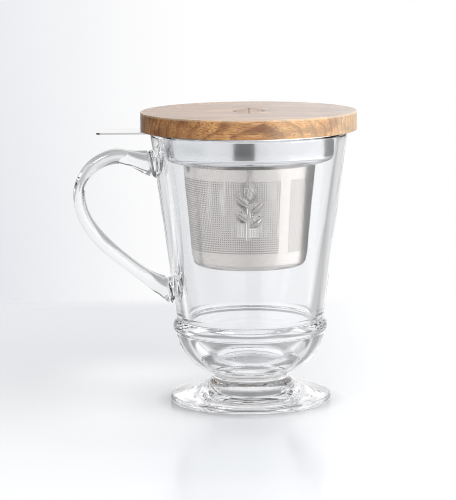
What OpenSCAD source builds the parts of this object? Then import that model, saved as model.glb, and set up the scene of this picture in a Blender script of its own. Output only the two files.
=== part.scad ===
// Footed glass tea mug with a lift-out steel infuser and a loose wooden lid.
// The origin is on the table under the mug's axis, +Z is up and the handle points to -X.

/* [Glass mug] */
// Height of the glass rim above the table
glass_h = 117; // [110:0.5:124]
// Outer radius of the rim
rim_r = 42.6; // [41:0.1:45]
// Wall thickness at the rim
rim_wall = 3.4; // [3:0.1:4.2]
// Radius that rounds both edges of the rim
lip_round = 1.1; // [0.6:0.1:1.3]
// Outer radius of the wall just above the bead
neck_r = 32; // [30.5:0.1:33]
// Wall thickness just above the bead
neck_wall = 5; // [4:0.1:6]
// Height where the straight wall starts, on top of the bead
neck_h = 38; // [36.5:0.1:40]
// Height of the inside floor
floor_h = 18; // [17:0.1:20]
// Radius of the flat inside floor
floor_r = 15.5; // [12:0.1:17]
// How far the inside of the bowl bulges between wall and floor
bowl_bulge = 3.7; // [2.5:0.1:4.2]

/* [Foot and bead] */
// Radius of the foot at its widest
foot_r = 34.7; // [32:0.1:37]
// Height of the foot's edge
foot_edge_h = 3.2; // [2.5:0.1:4]
// Radius of the foot's ground contact on its outside
foot_contact_r = 33.7; // [31:0.1:34]
// Width of the flat ring that the foot stands on
foot_land = 3.7; // [2:0.1:6]
// Rise of the shallow cone under the foot
foot_rise = 1.2; // [0.6:0.1:1.8]
// How far the foot's edge bulges between its ground contact and its top
edge_bulge = 0.9; // [0.4:0.1:1.4]
// Width of the ledge on top of the foot, inside its edge
edge_ledge = 0.8; // [0.4:0.1:1.5]
// How far the foot's top is hollowed between its edge and the waist
foot_hollow = 1.3; // [0.5:0.1:2]
// Radius of the recess in the middle of the underside
recess_r = 16.5; // [12:0.1:18]
// Height of the recess's ceiling
recess_h = 4.6; // [3:0.1:5.5]
// How far the recess narrows from its mouth to its ceiling
recess_taper = 0.8; // [0.4:0.1:1.5]
// Radius that rounds the recess's ceiling into its side
recess_round = 1.2; // [0.6:0.1:1.6]
// Radius of the waist between foot and bowl
waist_r = 16; // [14:0.1:18]
// Height of the waist
waist_h = 11.3; // [10.5:0.1:12]
// Height of the rounded groove at the waist
waist_w = 2.6; // [1.8:0.1:3]
// Depth of the rounded groove at the waist
waist_deep = 1; // [0.6:0.1:1.2]
// How far the outside of the bowl bulges between waist and bead
bowl_round = 3.4; // [2.6:0.1:4]
// How far the bead stands proud of the wall
bead_proud = 1.25; // [0.8:0.05:1.6]
// Height of the bead's band
bead_w = 5.6; // [4.5:0.1:6.5]
// Height between the bead and the start of the straight wall
bead_gap = 2; // [1:0.1:3]
// How far the bowl below the bead stands out past the wall above it
bead_step = 0.4; // [0.1:0.1:0.8]

/* [Handle] */
// Height of the upper root's centre
handle_top_h = 104; // [100:0.5:106]
// Height between the centres of the two roots
handle_drop = 55.8; // [50:0.5:58]
// How far the middle of the bar stands out from the wall
handle_reach = 34.5; // [30:0.5:40]
// Thickness of the bar in the middle of its bow
handle_t = 5.4; // [4.5:0.1:7]
// Width of the bar
handle_w = 11; // [9:0.5:14]

/* [Infuser] */
// Thickness of the flat rim ring and its tab
ring_t = 0.8; // [0.6:0.05:1.2]
// Distance from the ring's edge to the outside of the glass rim
ring_inset = 0.8; // [0.4:0.1:1]
// Width of the finger tab
tab_w = 20; // [16:0.5:24]
// How far the tab stands out past the lid
tab_out = 18.5; // [14:0.5:24]
// Radius of the tab's corners
tab_round = 2; // [1:0.25:4]
// Thickness of the drawn steel sheet of the collar
collar_t = 0.5; // [0.4:0.05:0.7]
// Depth of the collar below the ring, down to its shoulder
collar_h = 10.9; // [9:0.1:12]
// Radius that rounds the collar into its shoulder
collar_round = 3; // [1.5:0.1:4]
// Clearance between the collar and the glass at the collar's foot
collar_gap = 0.8; // [0.5:0.1:1.2]
// Width of the shoulder between collar and basket
shoulder_w = 8.2; // [7:0.1:9]
// Fall of the shoulder from the collar to the basket
shoulder_drop = 2.4; // [1.5:0.1:3]
// Width of the flat land where the shoulder rests on the basket's top edge
shoulder_land = 0.6; // [0.4:0.1:1.5]
// Radius that rounds the land into the shoulder
shoulder_round = 0.8; // [0.4:0.1:1.5]
// Length of the collar's neck inside the basket wall
neck_len = 3; // [2:0.1:4]

/* [Basket] */
// Thickness of the basket's sheet
basket_t = 0.4; // [0.3:0.05:0.6]
// Height of the basket from its floor to the shoulder
basket_h = 43.7; // [38:0.1:46]
// Outer radius of the basket at its floor
basket_bottom_r = 24.1; // [22:0.1:26]
// Height of the cap that closes the basket
cap_h = 4.4; // [4:0.1:5.5]
// Radius of the cap's lower corner
cap_round = 2.6; // [1.5:0.1:3]
// Blank band at the top of the wall
band_top = 5; // [4:0.1:7]
// Blank band at the bottom of the basket, over the cap
band_bottom = 7.4; // [6:0.1:9]
// Width of the square holes in the wall and of the round ones in the floor
hole_w = 1.6; // [1:0.05:1.8]
// Distance between the holes' centres
hole_pitch = 3.2; // [2.9:0.05:5]
// Width of the blank seam strip
seam_w = 4.5; // [3:0.1:8]
// Angle of the seam strip about the axis, from +X
seam_angle = -57; // [-180:1:180]

/* [Lid] */
// Thickness of the wooden disc
lid_t = 8.2; // [6:0.1:12]
// How far the lid stands out past the glass
lid_overhang = 3.9; // [2:0.1:6]
// Chamfer on the disc's edges
lid_chamfer = 0.4; // [0.2:0.1:1]
// Depth of the plug that enters the collar
plug_h = 5; // [4.5:0.1:6]
// Clearance between the plug and the collar
plug_gap = 1.7; // [1.4:0.1:2.2]
// Height of the seal and its groove
seal_h = 2.4; // [1.8:0.1:2.6]
// Depth of the groove in the plug
groove_deep = 1.5; // [1:0.1:2]
// Clearance between the seal and the collar
seal_gap = 0.3; // [0.2:0.05:0.6]

/* [Hidden] */
$fn = 96;
ARC_STEPS = 8;
// How far a cutter reaches past what it cuts
OVER = 1;
// Bulge of a quarter circle, as a share of its radius
QUARTER = 1 - cos(45);
// Smallest radius on the inside of a sheet's bend
TIGHTEST = 0.05;

// Radii and heights of the glass
rim_in_r = rim_r - rim_wall;
wall_slope = (rim_r - neck_r) / (glass_h - neck_h);
inner_slope = (rim_in_r - neck_r + neck_wall) / (glass_h - neck_h);
function outer_r(z) = rim_r - (glass_h - z) * wall_slope;
function inner_r(z) = rim_in_r - (glass_h - z) * inner_slope;

// Radii and heights of the infuser, from the rim downwards
ring_r = rim_r - ring_inset;
ring_top = glass_h + ring_t;
collar_foot = glass_h - collar_h;
collar_r = inner_r(collar_foot) - collar_gap;
collar_in_r = collar_r - collar_t;
basket_top = collar_foot - shoulder_drop;
basket_top_r = collar_r - shoulder_w;
basket_foot = basket_top - basket_h;
basket_slope = (basket_top_r - basket_bottom_r) / basket_h;
function basket_r(z) = basket_top_r - (basket_top - z) * basket_slope;
cap_top = basket_foot + cap_h;

// Radii and heights of the lid
lid_r = rim_r + lid_overhang;
plug_r = collar_in_r - plug_gap;
plug_foot = ring_top - plug_h;
groove_foot = plug_foot + (plug_h - seal_h) / 2;

// Unit vector along v
function unit(v) = v / norm(v);

// Vector v turned a quarter turn to the left
function left(v) = [-v[1], v[0]];

// Points p and q joined by an arc that bulges by s to the right of the way from p to q
function bulge(p, q, s) =
    let (chord = norm(q - p), r = (chord * chord / 4 + s * s) / (2 * abs(s)),
         side = -left(unit(q - p)) * sign(s), centre = (p + q) / 2 - side * (r - abs(s)),
         half = asin(chord / 2 / r), mid = atan2(side[1], side[0]), turn = sign(s) * half)
    [for (k = [0 : ARC_STEPS]) let (a = mid - turn + 2 * turn * k / ARC_STEPS) centre + r * [cos(a), sin(a)]];

// Arc of radius r that rounds the corner b between a and c
function corner(a, b, c, r) =
    let (u = unit(a - b), w = unit(c - b), half = acos(u * w) / 2, centre = b + unit(u + w) * r / sin(half),
         from = b + u * r / tan(half) - centre, to = b + w * r / tan(half) - centre,
         a0 = atan2(from[1], from[0]), turn = (atan2(to[1], to[0]) - a0 + 540) % 360 - 180)
    [for (k = [0 : ARC_STEPS]) let (t = a0 + turn * k / ARC_STEPS) centre + r * [cos(t), sin(t)]];

// Path of [x, y, corner radius] rows with its corners rounded
function rounded(path) = [for (i = [0 : len(path) - 1])
    let (p = [path[i][0], path[i][1]])
    each i == 0 || i == len(path) - 1 || path[i][2] == 0 ? [p]
        : corner([path[i - 1][0], path[i - 1][1]], p, [path[i + 1][0], path[i + 1][1]], path[i][2])];

// The same path moved to its left by t, as the other face of a bent sheet
function other_face(path, t) = [for (i = [0 : len(path) - 1])
    let (last = len(path) - 1, p = [path[i][0], path[i][1]],
         before = i == 0 ? [path[1][0], path[1][1]] - p : p - [path[i - 1][0], path[i - 1][1]],
         after = i == last ? before : [path[i + 1][0], path[i + 1][1]] - p,
         n = left(unit(before)), m = left(unit(after)), h = unit(n + m),
         turns_left = before[0] * after[1] - before[1] * after[0] > 0,
         q = p + h * t / (h * n), r = path[i][2])
    [q[0], q[1], r == 0 ? 0 : turns_left ? max(r - t, TIGHTEST) : r + t]];

// The same list from its end to its start
function reversed(list) = [for (i = [len(list) - 1 : -1 : 0]) list[i]];

// Section of a sheet of thickness t that is bent along a path
module sheet_section(path, t) {
    polygon(concat(rounded(path), reversed(rounded(other_face(path, t)))));
}

// Foot's edge, waist, bead and lip of the glass
edge_top_r = foot_r - edge_bulge / 2;
waist_foot = [waist_r + waist_deep, waist_h - waist_w / 2];
waist_top = [waist_r + waist_deep, waist_h + waist_w / 2];
bead_top = neck_h - bead_gap;
bead_foot = bead_top - bead_w;
lip_foot = glass_h - lip_round;

// Outside of the glass from the middle of its underside to the rim
glass_outline = concat(
    rounded([[0, recess_h, 0], [recess_r - recess_taper, recess_h, recess_round],
             [recess_r, foot_rise, recess_round / 2], [foot_contact_r - foot_land, 0, 0]]),
    bulge([foot_contact_r, 0], [edge_top_r, foot_edge_h], edge_bulge),
    bulge([edge_top_r - edge_ledge, foot_edge_h], waist_foot, -foot_hollow),
    bulge(waist_foot, waist_top, -waist_deep),
    bulge(waist_top, [neck_r + bead_step, bead_foot], bowl_round),
    bulge([neck_r + bead_step, bead_foot], [neck_r, bead_top], bead_proud),
    [[neck_r, neck_h]],
    bulge([outer_r(lip_foot), lip_foot], [rim_r - lip_round, glass_h], lip_round * QUARTER));

// Inside of the glass from the rim to the middle of its floor
glass_inside = concat(
    bulge([rim_in_r + lip_round, glass_h], [inner_r(lip_foot), lip_foot], lip_round * QUARTER),
    bulge([inner_r(neck_h), neck_h], [floor_r, floor_h], -bowl_bulge),
    [[0, floor_h]]);

// Pressed glass bowl on its foot
module glass_mug() {
    color("lightcyan", 0.45) rotate_extrude() polygon(concat(glass_outline, glass_inside));
}

// Everything inside the glass's outer surface, which cuts the handle's roots to the wall
module glass_block() {
    rotate_extrude() polygon(concat(glass_outline, [[0, glass_h]]));
}

// Rows of the handle's middle line: share of the reach, share of the drop, thickness and width as shares
handle_rows = [[-0.12, 0.012, 2.35, 1.25], [0.06, 0, 2.05, 1.2], [0.29, -0.032, 1.26, 1.04],
    [0.50, -0.047, 1.22, 1], [0.75, 0.016, 1.09, 1], [0.935, 0.14, 0.94, 1], [1, 0.287, 1, 1],
    [0.95, 0.455, 1.06, 1], [0.79, 0.616, 1.16, 1], [0.533, 0.772, 1.07, 1], [0.287, 0.898, 1.17, 1.06],
    [0.078, 0.973, 1.78, 1.2], [-0.108, 1.025, 2.25, 1.3]];
// Stations along the bar between two rows, and points round each station
SPLINE_STEPS = 4;
SECTION_SIDES = 18;
// Power that squares off the bar's section: 1 gives an ellipse and 0 a rectangle
SECTION_POWER = 0.8;

// Point of the row in the plane of the handle, as [x, z, thickness, width]
function bar_row(row) = let (z = handle_top_h - row[1] * handle_drop)
    [-outer_r(z) - row[0] * handle_reach, z, row[2] * handle_t, row[3] * handle_w];

// Value between b and c on the smooth curve through a, b, c and d
function between(a, b, c, d, t) =
    b + t * (c - a) / 2 + t * t * (a - 2.5 * b + 2 * c - d / 2) + t * t * t * (1.5 * (b - c) + (d - a) / 2);

bar_rows = [for (row = handle_rows) bar_row(row)];
bar = [for (i = [0 : len(bar_rows) - 2], k = [0 : SPLINE_STEPS - (i == len(bar_rows) - 2 ? 0 : 1)])
    between(bar_rows[max(i - 1, 0)], bar_rows[i], bar_rows[i + 1], bar_rows[min(i + 2, len(bar_rows) - 1)],
        k / SPLINE_STEPS)];

// Signed power that squares an ellipse off a little
function squared(v) = sign(v) * pow(abs(v), SECTION_POWER);

// Ring of points around station i of the bar
function bar_ring(i) =
    let (p = bar[i], way = bar[min(i + 1, len(bar) - 1)] - bar[max(i - 1, 0)],
         across = left(unit([way[0], way[1]])))
    [for (k = [0 : SECTION_SIDES - 1]) let (a = 360 * k / SECTION_SIDES,
        c = squared(cos(a)) * p[2] / 2, s = squared(sin(a)) * p[3] / 2)
        [p[0] + across[0] * c, s, p[1] + across[1] * c]];

// Number of point k on ring i of the bar
function at(i, k) = i * SECTION_SIDES + k % SECTION_SIDES;

// Bowed glass bar whose flared roots meet the wall
module handle() {
    last = len(bar) - 1;
    sides = SECTION_SIDES;
    color("lightcyan", 0.45) difference() {
        polyhedron(
            points = [for (i = [0 : last]) each bar_ring(i)],
            faces = concat(
                [[for (k = [sides - 1 : -1 : 0]) at(0, k)]],
                [for (i = [0 : last - 1], k = [0 : sides - 1])
                    [at(i, k), at(i, k + 1), at(i + 1, k + 1), at(i + 1, k)]],
                [[for (k = [0 : sides - 1]) at(last, k)]]));
        glass_block();
    }
}

// Flat ring that hangs the infuser on the rim, with its finger tab
module rim_ring() {
    tab_end = lid_r + tab_out;
    color("gainsboro") translate([0, 0, glass_h]) linear_extrude(ring_t) difference() {
        union() {
            circle(r = ring_r);
            translate([-tab_end + tab_round, -tab_w / 2]) square([tab_end - tab_round, tab_w]);
            translate([-tab_end, -tab_w / 2 + tab_round]) square([tab_end, tab_w - 2 * tab_round]);
            for (side = [-1, 1])
                translate([-tab_end + tab_round, side * (tab_w / 2 - tab_round)]) circle(r = tab_round);
        }
        circle(r = collar_in_r);
    }
}

// Drawn cup that drops from the ring, steps in over a shoulder and ends in a neck
module collar() {
    neck_top_r = basket_r(basket_top) - basket_t;
    neck_foot_r = basket_r(basket_top - neck_len) - basket_t;
    color("silver") rotate_extrude() sheet_section([
        [neck_foot_r, basket_top - neck_len, 0], [neck_top_r, basket_top, 0],
        [basket_top_r + basket_t + shoulder_land, basket_top, shoulder_round],
        [collar_r, collar_foot, collar_round], [collar_r, glass_h, 0]], collar_t);
}

// Rolled wall with square perforations and a blank seam strip
module basket_wall() {
    zone_foot = basket_foot + band_bottom;
    zone_h = basket_top - band_top - zone_foot;
    mid_r = basket_r(zone_foot + zone_h / 2);
    free_angle = 360 * (1 - seam_w / (2 * PI * mid_r));
    rows = floor(zone_h / hole_pitch);
    columns = floor(free_angle / 360 * 2 * PI * mid_r / hole_pitch);
    column_step = free_angle / columns;
    hole_angle = hole_w / mid_r * 180 / PI;
    cut_from = basket_r(zone_foot) - basket_t - OVER;
    cut_to = basket_r(zone_foot + zone_h) + OVER;
    color("lightsteelblue") difference() {
        rotate_extrude() polygon([
            [basket_r(cap_top) - basket_t, cap_top], [basket_r(cap_top), cap_top],
            [basket_top_r, basket_top], [basket_top_r - basket_t, basket_top]]);
        for (i = [0 : rows - 1], j = [0 : columns - 1])
            rotate([0, 0, seam_angle + (360 - free_angle + (2 * j + 1) * column_step - hole_angle) / 2])
                rotate_extrude(angle = hole_angle)
                    translate([cut_from, zone_foot + (i + 0.5) * zone_h / rows - hole_w / 2])
                        square([cut_to - cut_from, hole_w]);
    }
}

// Drawn cap with a perforated floor that closes the basket
module basket_cap() {
    floor_free_r = basket_bottom_r - cap_round - hole_pitch;
    reach = floor(floor_free_r / hole_pitch);
    color("lightsteelblue") difference() {
        rotate_extrude() intersection() {
            sheet_section([
                [0, basket_foot, 0], [basket_bottom_r, basket_foot, cap_round],
                [basket_r(cap_top + OVER), cap_top + OVER, 0]], basket_t);
            translate([0, basket_foot]) square([basket_top_r, cap_h]);
        }
        for (i = [-reach : reach], j = [-reach : reach])
            if (norm([i, j]) * hole_pitch < floor_free_r)
                translate([i * hole_pitch, j * hole_pitch, basket_foot - OVER])
                    cylinder(d = hole_w, h = basket_t + 2 * OVER, $fn = 24);
    }
}

// Turned wooden disc with a grooved plug underneath
module lid_board() {
    lid_top = ring_top + lid_t;
    c = lid_chamfer;
    color("burlywood") rotate_extrude() polygon([
        [0, plug_foot], [plug_r - c, plug_foot], [plug_r, plug_foot + c], [plug_r, groove_foot],
        [plug_r - groove_deep, groove_foot], [plug_r - groove_deep, groove_foot + seal_h],
        [plug_r, groove_foot + seal_h], [plug_r, ring_top], [lid_r - c, ring_top], [lid_r, ring_top + c],
        [lid_r, lid_top - c], [lid_r - c, lid_top], [0, lid_top]]);
}

// Soft ring in the plug's groove that centres the lid in the collar
module lid_seal() {
    seat_r = plug_r - groove_deep;
    lip_r = collar_in_r - seal_gap;
    color("white") rotate_extrude() polygon(concat(
        [[seat_r, groove_foot]],
        bulge([plug_r, groove_foot], [plug_r, groove_foot + seal_h], lip_r - plug_r),
        [[seat_r, groove_foot + seal_h]]));
}

glass_mug();
handle();
rim_ring();
collar();
basket_wall();
basket_cap();
lid_board();
lid_seal();
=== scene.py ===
"""Looks of a footed glass tea mug with a lift-out steel infuser and a loose wooden lid.

Shapes are worked out in millimetres and become metres when a mesh is made. Every piece lies in the frame
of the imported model: the origin is on the table under the mug's axis, +Z is up and the handle points to -X.
"""

import bpy
import numpy as np
from mathutils import Matrix, Vector


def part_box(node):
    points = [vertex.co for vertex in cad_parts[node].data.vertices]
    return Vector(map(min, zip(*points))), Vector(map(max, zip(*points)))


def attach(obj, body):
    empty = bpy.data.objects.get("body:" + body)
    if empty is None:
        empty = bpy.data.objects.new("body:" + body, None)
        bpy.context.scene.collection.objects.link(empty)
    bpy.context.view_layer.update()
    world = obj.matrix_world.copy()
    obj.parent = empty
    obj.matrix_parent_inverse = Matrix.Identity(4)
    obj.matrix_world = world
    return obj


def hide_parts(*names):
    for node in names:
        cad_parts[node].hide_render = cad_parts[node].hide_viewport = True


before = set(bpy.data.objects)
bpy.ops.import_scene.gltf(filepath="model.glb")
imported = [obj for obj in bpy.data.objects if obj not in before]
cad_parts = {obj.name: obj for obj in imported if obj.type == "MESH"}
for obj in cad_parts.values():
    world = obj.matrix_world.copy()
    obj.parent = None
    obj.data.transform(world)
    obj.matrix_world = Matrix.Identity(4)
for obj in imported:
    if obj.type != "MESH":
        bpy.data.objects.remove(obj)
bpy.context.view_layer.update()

MM = 0.001
TURN = 2 * np.pi


def span(node):
    """Lowest and highest corner of a CAD node, in millimetres and to a tenth of one."""
    low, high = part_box(node)
    return np.round(np.array(low) / MM, 1), np.round(np.array(high) / MM, 1)


# Sizes that the frame gives
glass_h = span("glass_mug")[1][2]
rim_r = span("glass_mug")[1][0]
ring_top = span("rim_ring")[1][2]
basket_foot = span("basket_cap")[0][2]
basket_low_r = span("basket_cap")[1][0]
cap_top = span("basket_cap")[1][2]
basket_top = span("basket_wall")[1][2]
basket_top_r = span("basket_wall")[1][0]
collar_r = span("collar")[1][0]
lid_r = span("lid_board")[1][0]
lid_top = span("lid_board")[1][2]
plug_foot = span("lid_board")[0][2]

# Glass wall
rim_wall = 3.4
lip_round = 1.1
neck_r = 32.0
neck_wall = 5.0
neck_h = 38.0
floor_h = 18.0
floor_r = 15.5
bowl_bulge = 3.7
bowl_columns = 112
glass_crease = 40.0

# Foot, waist and bead
foot_r = 34.7
foot_edge_h = 3.2
foot_contact_r = 33.7
foot_land = 3.7
foot_rise = 1.2
edge_bulge = 0.9
edge_ledge = 0.8
foot_hollow = 1.3
recess_r = 16.5
recess_h = 4.6
recess_taper = 0.8
waist_r = 16.0
waist_h = 11.3
waist_w = 2.6
waist_deep = 1.0
bowl_round = 3.4
bead_proud = 1.25
bead_w = 5.6
bead_gap = 2.0
bead_step = 0.4
glass_softness = 0.45

# Handle
handle_top_h = 104.0
handle_drop = 55.8
handle_reach = 34.5
handle_t = 5.4
handle_w = 11.0
handle_steps = 40
handle_squareness = 0.85
handle_columns = 80
root_l = 9.0
root_rows = 45
root_row_gap = 0.2
bar_row_gap = 0.8
root_groove_at = 1.7
root_groove_w = 0.5
root_groove_deep = 0.7

# Sprig in relief on the front of the glass
sprig_h = 88.0
sprig_proud = 1.7
sprig_half_w = 8.0
sprig_half_h = 14.5
sprig_columns = 72
sprig_rows_per_mm = 3.0

# Infuser
collar_t = 0.5
collar_foot = 106.1
collar_round = 3.0
collar_softness = 0.35
collar_columns = 192
shoulder_land = 0.6
neck_len = 3.0
basket_t = 0.4
mesh_t = 0.25
cap_overlap = 0.1
band_top = 5.0
band_bottom = 7.4
hole_pitch = 0.94
hole_share = 0.51
seam_w = 4.5
seam_angle = -57.0

# Lid
lid_edge_round = 1.1
lid_columns = 240
plug_gap = 1.7
groove_deep = 1.5
seal_h = 2.4
carving_deep = 0.4
mark_l = 24.0
mark_w = 13.0
mark_line = 0.5
mark_reach = 17.0
mark_rows_per_mm = 3.0
vein_gap = 4.0
vein_rise = 0.9
vein_stretch = 1.35

rim_in_r = rim_r - rim_wall
wall_slope = (rim_r - neck_r) / (glass_h - neck_h)
inner_slope = (rim_in_r - neck_r + neck_wall) / (glass_h - neck_h)


def outer_r(z):
    """Outer radius of the straight wall at height z."""
    return rim_r - (glass_h - z) * wall_slope


def inner_r(z):
    """Inner radius of the straight wall at height z."""
    return rim_in_r - (glass_h - z) * inner_slope


def basket_r(z):
    """Outer radius of the basket's cone at height z."""
    return basket_top_r - (basket_top - z) * (basket_top_r - basket_low_r) / (basket_top - basket_foot)


# ---------------------------------------------------------------- lines and surfaces


def arc(start, end, bulge, steps=24):
    """Points on the circle through start and end whose middle lies bulge to the right of the way between.

    The radius is (chord squared / 4 + bulge squared) / (2 bulge). The centre lies on the chord's bisector.
    """
    start, end = np.array(start, float), np.array(end, float)
    chord = np.linalg.norm(end - start)
    radius = (chord**2 / 4 + bulge**2) / (2 * abs(bulge))
    way = (end - start) / chord
    side = np.array([way[1], -way[0]]) * np.sign(bulge)
    centre = (start + end) / 2 - side * (radius - abs(bulge))
    half = np.arcsin(min(1.0, chord / 2 / radius))
    swing = np.linspace(-half, half, steps)[:, None]
    return centre + radius * (side * np.cos(swing) + way * np.sin(swing))


def along(line):
    """Distance from the line's start to each of its points."""
    return np.concatenate([[0.0], np.cumsum(np.linalg.norm(np.diff(line, axis=0), axis=1))])


def at_distance(line, where):
    """Points of the line at the given distances from its start."""
    gone = along(line)
    return np.stack([np.interp(where, gone, line[:, k]) for k in range(line.shape[1])], 1)


def softened(line, radius, step=0.1):
    """The line with its corners rounded: resampled at equal steps, then averaged over twice the radius.

    Each end is continued by its own mirror image through the end point, so that both ends stay in place.
    """
    length = along(line)[-1]
    even = at_distance(line, np.linspace(0, length, int(length / step)))
    reach = max(1, int(radius / step))
    before = 2 * even[0] - even[reach:0:-1]
    after = 2 * even[-1] - even[-2 : -reach - 2 : -1]
    window = np.hanning(2 * reach + 3)[1:-1]
    whole = np.concatenate([before, even, after])
    return np.stack([np.convolve(whole[:, k], window / window.sum(), "valid") for k in (0, 1)], 1)


def paced(line, length_step, turn_step, focus=None):
    """Points of the line, one for each length_step of length and each turn_step degrees of bend.

    focus gives more points per millimetre, as a function of the line's points.
    """
    gone = along(line)
    way = np.gradient(line, axis=0)
    heading = np.unwrap(np.arctan2(way[:, 1], way[:, 0]))
    extra = focus(line) if focus else 0.0
    bend = np.abs(np.gradient(np.degrees(heading)))
    pace = np.gradient(gone) * (1 / length_step + extra) + bend / turn_step
    pace = np.concatenate([[0.0], np.cumsum((pace[1:] + pace[:-1]) / 2)])
    return at_distance(line, np.interp(np.linspace(0, pace[-1], int(pace[-1]) + 2), pace, gone))


def revolved(profile, angles):
    """Grid of points: each row is one point of the profile (radius, height) turned through the angles."""
    r, z = profile.T
    return np.stack(
        [np.outer(r, np.cos(angles)), np.outer(r, np.sin(angles)), np.outer(z, np.ones_like(angles))], -1)


def skin(rows, columns, rows_close=False):
    """Quads between neighbouring rows of a grid whose rows are rings, facing left of the rows' way."""
    row_count = rows if rows_close else rows - 1
    i, j = np.meshgrid(np.arange(row_count), np.arange(columns), indexing="ij")
    up, right = (i + 1) % rows, (j + 1) % columns
    quads = np.stack([i * columns + j, i * columns + right, up * columns + right, up * columns + j], -1)
    return quads.reshape(-1, 4)


def new_piece(name, points, faces, crease=35.0, attributes=None):
    """A smooth mesh object from points in millimetres. Edges are sharp where faces meet at crease degrees."""
    mesh = bpy.data.meshes.new(name)
    mesh.from_pydata((np.asarray(points).reshape(-1, 3) * MM).tolist(), [], faces)
    for key, values in (attributes or {}).items():
        attribute = mesh.attributes.new(key, "FLOAT", "POINT")
        attribute.data.foreach_set("value", np.ravel(values).astype(np.float32))
    mesh.validate()
    mesh.shade_smooth()
    mesh.set_sharp_from_angle(angle=np.radians(crease))
    piece = bpy.data.objects.new(name, mesh)
    bpy.context.scene.collection.objects.link(piece)
    return piece


def spindle(grid):
    """Points and faces of a closed solid of revolution whose first and last rows lie on the axis."""
    rows, columns = grid.shape[0] - 2, grid.shape[1]
    points = np.concatenate([grid[1:-1].reshape(-1, 3), [grid[0, 0], grid[-1, 0]]])
    bottom, top = rows * columns, rows * columns + 1
    j = np.arange(columns)
    after = (j + 1) % columns
    low = np.stack([np.full(columns, bottom), after, j], 1)
    high = np.stack([(rows - 1) * columns + j, (rows - 1) * columns + after, np.full(columns, top)], 1)
    return points, skin(rows, columns).tolist() + low.tolist() + high.tolist()


def sheet_loop(middle, thickness):
    """Closed outline of a bent sheet: its middle line moved half a thickness to each side."""
    way = np.gradient(middle, axis=0)
    way /= np.linalg.norm(way, axis=1)[:, None]
    side = np.stack([way[:, 1], -way[:, 0]], 1) * thickness / 2
    return np.concatenate([middle + side, (middle - side)[::-1]])


# ---------------------------------------------------------------- shader tools


class Wire:
    """An output socket of a node. Sums, products and powers of wires and numbers add Math nodes."""

    def __init__(self, finish, socket):
        self.finish = finish
        self.socket = socket

    def maths(self, operation, first, second=0.0):
        """A Math node on two values."""
        return self.finish.node("ShaderNodeMath", {"operation": operation}, {0: first, 1: second})

    def __add__(self, other):
        return self.maths("ADD", self, other)

    def __radd__(self, other):
        return self.maths("ADD", other, self)

    def __sub__(self, other):
        return self.maths("SUBTRACT", self, other)

    def __rsub__(self, other):
        return self.maths("SUBTRACT", other, self)

    def __mul__(self, other):
        return self.maths("MULTIPLY", self, other)

    def __rmul__(self, other):
        return self.maths("MULTIPLY", other, self)

    def __truediv__(self, other):
        return self.maths("DIVIDE", self, other)

    def __rtruediv__(self, other):
        return self.maths("DIVIDE", other, self)

    def __pow__(self, other):
        return self.maths("POWER", self, other)

    def __rpow__(self, other):
        return self.maths("POWER", other, self)


class Finish:
    """A node tree that is being filled. The method node adds any node and gives an output of it as a Wire."""

    def __init__(self, tree):
        self.tree = tree
        tree.nodes.clear()

    def node(self, kind, settings=None, inputs=None, out=0):
        """Adds a node: its settings first, then the values or wires of its sockets."""
        made = self.tree.nodes.new(kind)
        for key, value in (settings or {}).items():
            if key == "stops":
                ramp = made.color_ramp.elements
                while len(ramp) < len(value):
                    ramp.new(0.5)
                for stop, (position, rgb) in zip(ramp, value):
                    stop.position = position
                    stop.color = (*rgb, 1.0)
            else:
                setattr(made, key, value)
        for key, value in (inputs or {}).items():
            if isinstance(value, Wire):
                self.tree.links.new(value.socket, made.inputs[key])
            else:
                made.inputs[key].default_value = value
        return Wire(self, made.outputs[out])

    def place(self, scale):
        """Object coordinates in millimetres, times a scale for x, y and z."""
        metres = self.node("ShaderNodeTexCoord", out="Object")
        return self.node("ShaderNodeVectorMath", {"operation": "MULTIPLY"},
                         {0: metres, 1: [s / MM for s in scale]})

    def noise(self, where, detail=3.0, roughness=0.5):
        """Smooth noise from 0 to 1 at a place."""
        return self.node("ShaderNodeTexNoise", {"normalize": True},
                         {"Vector": where, "Scale": 1.0, "Detail": detail, "Roughness": roughness})

    def part(self, vector, axis):
        """One coordinate of a vector."""
        return self.node("ShaderNodeSeparateXYZ", {}, {0: vector}, out=axis)

    def step(self, value, low, high, start=0.0, end=1.0):
        """Smooth change from start to end while the value goes from low to high."""
        return self.node("ShaderNodeMapRange", {"interpolation_type": "SMOOTHSTEP"},
                         {"Value": value, "From Min": low, "From Max": high, "To Min": start, "To Max": end})

    def at_least(self, value, count):
        """1 where a whole number is count or more, and 0 where it is less."""
        return self.step(value, count - 0.6, count - 0.4)

    def window(self, value, low, high, soft):
        """1 while the value is between low and high, 0 outside, with soft edges."""
        return self.step(value, low - soft, low + soft) * (1 - self.step(value, high - soft, high + soft))

    def mix(self, factor, first, second):
        """Colour between first and second."""
        return self.node("ShaderNodeMix", {"data_type": "RGBA"},
                         {0: factor, 6: colour(first), 7: colour(second)}, out=2)

    def path(self, kind):
        """What Light Path says of a ray: 1 or 0 for a kind, or a count of surfaces for a depth."""
        return self.node("ShaderNodeLightPath", out=kind)

    def grey(self, value):
        """Grey of a brightness."""
        return self.node("ShaderNodeCombineXYZ", {}, {0: value, 1: value, 2: value})

    def show(self, surface, kind="ShaderNodeOutputMaterial"):
        """Makes surface what the tree shows."""
        output = self.tree.nodes.new(kind)
        self.tree.links.new(surface.socket, output.inputs["Surface"])

    def bump(self, height, strength, depth):
        """Normal of a surface that rises by depth millimetres where height is 1."""
        return self.node("ShaderNodeBump", {},
                         {"Height": height, "Strength": strength, "Distance": depth * MM})


def colour(value):
    """An RGB triple as RGBA, or a wire as it is."""
    return value if isinstance(value, Wire) else (*value, 1.0)


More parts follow.
